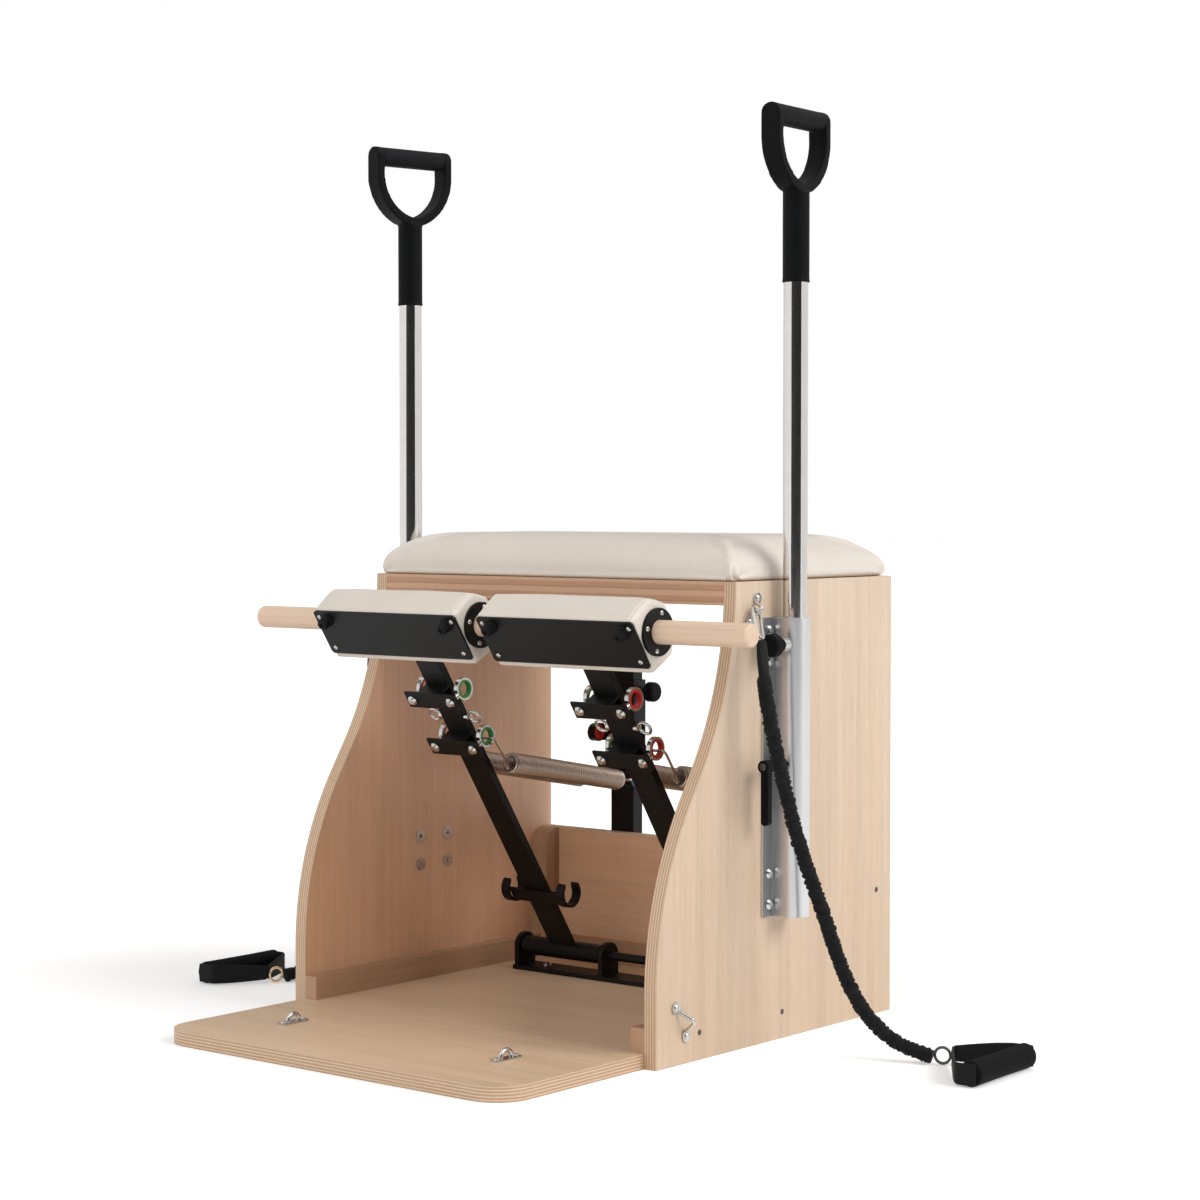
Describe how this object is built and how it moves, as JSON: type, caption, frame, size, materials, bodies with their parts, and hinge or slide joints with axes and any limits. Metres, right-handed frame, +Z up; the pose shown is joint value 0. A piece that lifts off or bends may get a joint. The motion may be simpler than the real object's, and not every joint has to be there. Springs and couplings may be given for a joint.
{
  "type": "pilates chair",
  "caption": "Pilates chair: plywood cabinet with a padded seat, sprung split pedals linked by a dowel, height-set pole handles and elastic hand straps.",
  "frame": {"origin": "on the floor under the middle of the base, midway between the side panels", "axes": "+X to the chair's right as seen from its front, +Y to the rear, +Z up; the pedals face -Y"},
  "size_m": [1.199, 0.7745, 1.1482],
  "materials": {
    "plywood": "satin lacquer over pale maple plywood",
    "seat_vinyl": "matte cream vinyl",
    "pad_vinyl": "matte cream vinyl",
    "sleeve_aluminium": "clear anodised",
    "stainless": "polished",
    "black_plastic": "moulded",
    "black_steel": "satin black powder coat",
    "zinc_steel": "bright zinc",
    "dark_screw": "black oxide",
    "bush_plastic": "moulded",
    "liner_plastic": "moulded, in signal colours",
    "core_wood": "raw plywood",
    "bumper_rubber": "matte",
    "spring_steel": "nickel plated",
    "strap_fabric": "woven black nylon",
    "beech": "sanded beech"
  },
  "bodies": {
    "frame": {"side_panel_left": "plywood", "side_panel_right": "plywood", "base_board": "plywood", "base_cleats": "plywood", "corner_gussets": "plywood", "rear_panel": "plywood", "seat_board": "plywood", "seat_cushion": "seat_vinyl", "pole_sleeve_left": "sleeve_aluminium", "pole_sleeve_right": "sleeve_aluminium", "sleeve_fasteners": "zinc_steel", "strap_hooks": "zinc_steel", "hook_screws": "zinc_steel", "panel_screws": "dark_screw", "floor_eyes": "zinc_steel", "pivot_bracket": "black_steel", "pivot_shaft": "zinc_steel", "frame_bolts": "black_steel", "spring_posts": "black_steel", "springs_left": "spring_steel", "springs_right": "spring_steel", "strap_cord_left": "strap_fabric", "strap_cord_right": "strap_fabric", "strap_hardware": "zinc_steel", "strap_handles": "strap_fabric"},
    "left_pedal": {"pedal_arm_left": "black_steel", "pivot_bushes_left": "bush_plastic", "spring_bars_left": "black_steel", "arm_eye_bolts_left": "zinc_steel", "eye_liners_left": "liner_plastic", "dowel_cradle_left": "black_steel", "pedal_core_left": "core_wood", "pedal_pad_left": "pad_vinyl", "pedal_plate_left": "black_steel", "pedal_bumpers_left": "bumper_rubber", "dowel_flanges_left": "black_steel"},
    "left_pole": {"pole_left": "stainless", "d_handle_left": "black_plastic"},
    "left_plunger": {"plunger_left": "black_plastic"},
    "left_lever": {"clamp_lever_left": "black_plastic"},
    "left_carriage": {"carriage_left": "black_steel"},
    "left_pull": {"carriage_knob_left": "black_plastic"},
    "right_pedal": {"pedal_arm_right": "black_steel", "pivot_bushes_right": "bush_plastic", "spring_bars_right": "black_steel", "arm_eye_bolts_right": "zinc_steel", "eye_liners_right": "liner_plastic", "dowel_cradle_right": "black_steel", "pedal_core_right": "core_wood", "pedal_pad_right": "pad_vinyl", "pedal_plate_right": "black_steel", "pedal_bumpers_right": "bumper_rubber", "dowel_flanges_right": "black_steel"},
    "right_pole": {"pole_right": "stainless", "d_handle_right": "black_plastic"},
    "right_plunger": {"plunger_right": "black_plastic"},
    "right_lever": {"clamp_lever_right": "black_plastic"},
    "right_carriage": {"carriage_right": "black_steel"},
    "right_pull": {"carriage_knob_right": "black_plastic"},
    "dowel_bar": {"dowel": "beech"}
  },
  "joints": [
    {"name": "pedal_left_hinge", "type": "hinge", "parent": "frame", "child": "left_pedal", "pos_m": [-0.141, 0.24, 0.05], "axis": [1, 0, 0], "range_deg": [0, 54], "stiffness_Nm_per_rad": 60, "springref_deg": -22.92, "deforming": ["springs_left"]},
    {"name": "pedal_right_hinge", "type": "hinge", "parent": "frame", "child": "right_pedal", "pos_m": [0.141, 0.24, 0.05], "axis": [1, 0, 0], "range_deg": [0, 54], "stiffness_Nm_per_rad": 60, "springref_deg": -22.92, "deforming": ["springs_right"]},
    {"name": "dowel_slide", "type": "slide", "parent": "right_pedal", "child": "dowel_bar", "axis": [1, 0, 0], "range_m": [0, 0.42]},
    {"name": "pole_left_slide", "type": "slide", "parent": "frame", "child": "left_pole", "axis": [0, 0, 1], "range_m": [0, 0.2]},
    {"name": "plunger_left_pull", "type": "slide", "parent": "frame", "child": "left_plunger", "axis": [0, -1, 0], "range_m": [0, 0.008], "stiffness_N_per_m": 600, "springref_m": -0.01},
    {"name": "lever_left_turn", "type": "hinge", "parent": "frame", "child": "left_lever", "pos_m": [-0.323, 0.065, 0.345], "axis": [0, 1, 0], "range_deg": [0, 90]},
    {"name": "carriage_left_slide", "type": "slide", "parent": "frame", "child": "left_carriage", "axis": [0, 0, 1], "range_m": [-0.05, 0.1]},
    {"name": "pull_left_slide", "type": "slide", "parent": "left_carriage", "child": "left_pull", "axis": [1, 0, 0], "range_m": [0, 0.008], "stiffness_N_per_m": 600, "springref_m": -0.01},
    {"name": "pole_right_slide", "type": "slide", "parent": "frame", "child": "right_pole", "axis": [0, 0, 1], "range_m": [0, 0.2]},
    {"name": "plunger_right_pull", "type": "slide", "parent": "frame", "child": "right_plunger", "axis": [0, -1, 0], "range_m": [0, 0.008], "stiffness_N_per_m": 600, "springref_m": -0.01},
    {"name": "lever_right_turn", "type": "hinge", "parent": "frame", "child": "right_lever", "pos_m": [0.323, 0.065, 0.345], "axis": [0, -1, 0], "range_deg": [0, 90]},
    {"name": "carriage_right_slide", "type": "slide", "parent": "frame", "child": "right_carriage", "axis": [0, 0, 1], "range_m": [-0.05, 0.1]},
    {"name": "pull_right_slide", "type": "slide", "parent": "right_carriage", "child": "right_pull", "axis": [-1, 0, 0], "range_m": [0, 0.008], "stiffness_N_per_m": 600, "springref_m": -0.01}
  ],
  "couplings": [
    {"joint": "pedal_right_hinge", "follows": "pedal_left_hinge", "ratio": 1}
  ]
}
